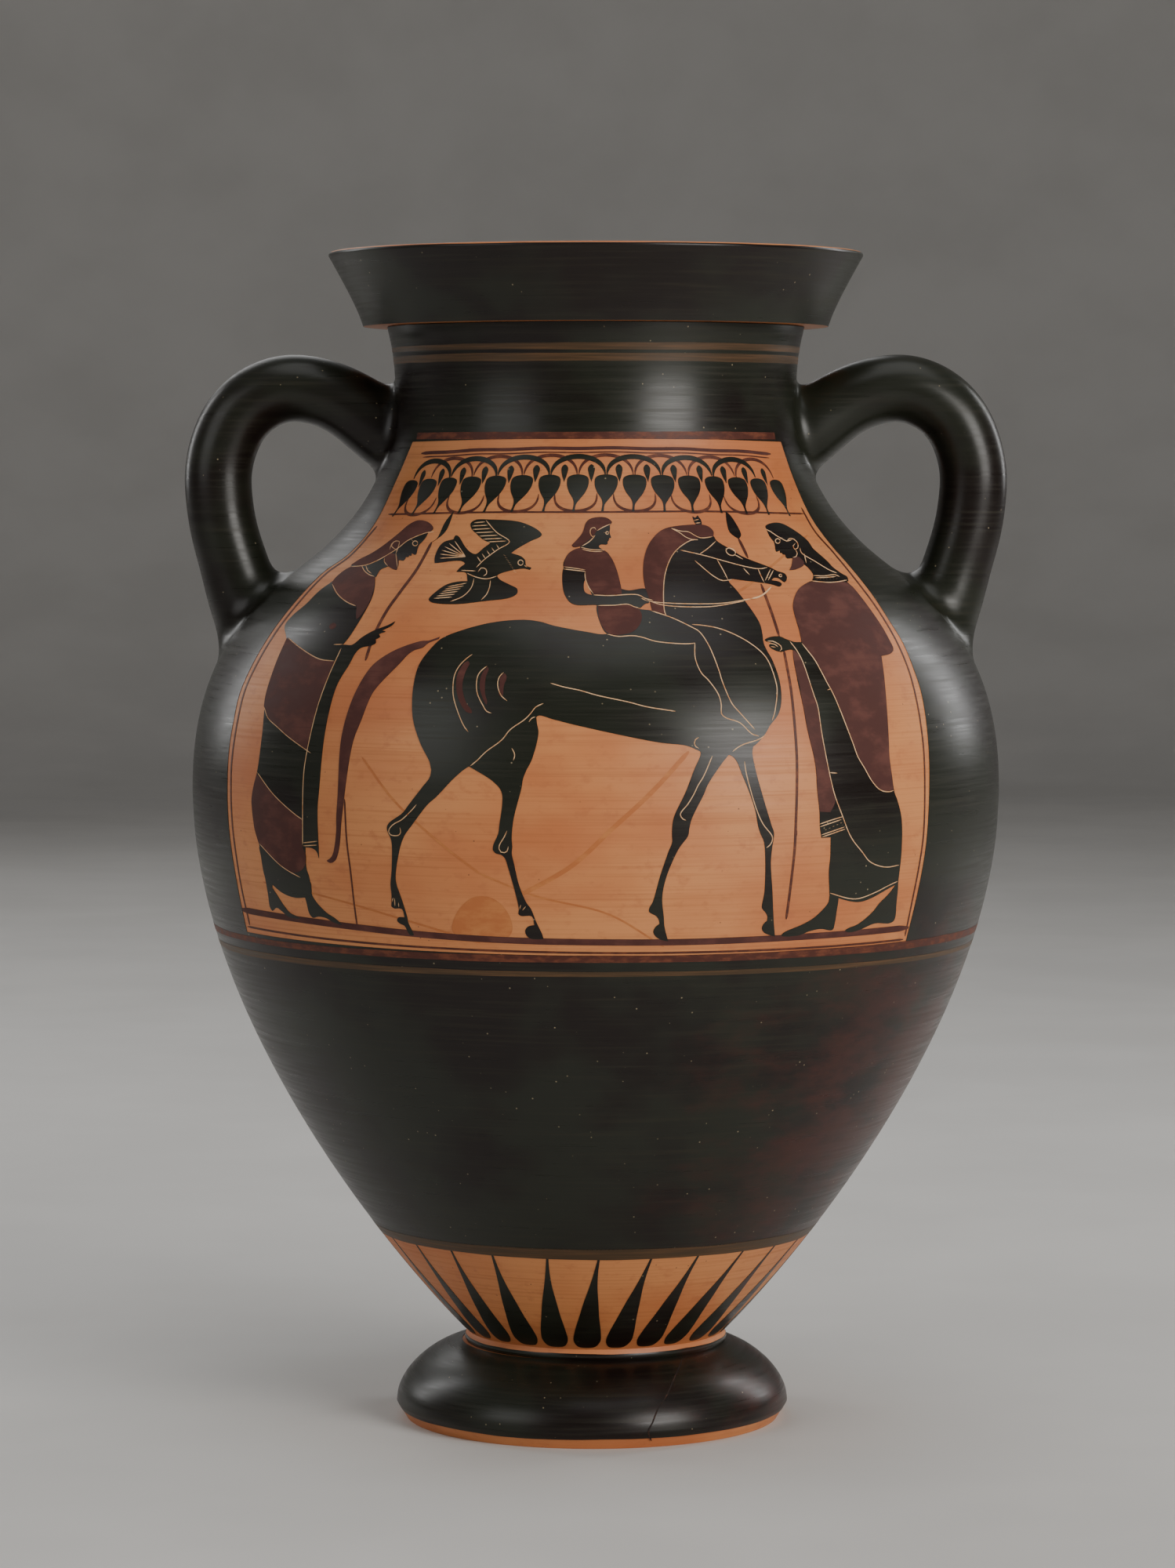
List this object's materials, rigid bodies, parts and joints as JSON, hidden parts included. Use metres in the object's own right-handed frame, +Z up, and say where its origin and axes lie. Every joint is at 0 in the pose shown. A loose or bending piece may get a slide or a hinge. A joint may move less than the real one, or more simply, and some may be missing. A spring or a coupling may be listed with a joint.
{
  "type": "amphora",
  "caption": "Tall two-handled jar of fired clay with a flaring mouth, a continuous curved body and a low ring foot, for storing and serving liquids or for display.",
  "frame": {"origin": "centre of the foot's resting ring, on the surface that the jar stands on", "axes": "+Z up along the wheel axis, X through the two handles, -Y towards the main painted panel"},
  "size_m": [0.2888, 0.2832, 0.41],
  "materials": {
    "black_gloss": "thin semi-gloss black clay slip fired on, with fine wheel and brush streaks",
    "bare_clay": "burnished orange fired clay, satin, with fine turning lines"
  },
  "bodies": {
    "root": {"foot": "black_gloss", "foot_fillet": "bare_clay", "lower_body": "black_gloss", "upper_body": "black_gloss", "neck": "black_gloss", "mouth": "black_gloss", "right_handle": "black_gloss", "left_handle": "black_gloss"}
  },
  "joints": []
}
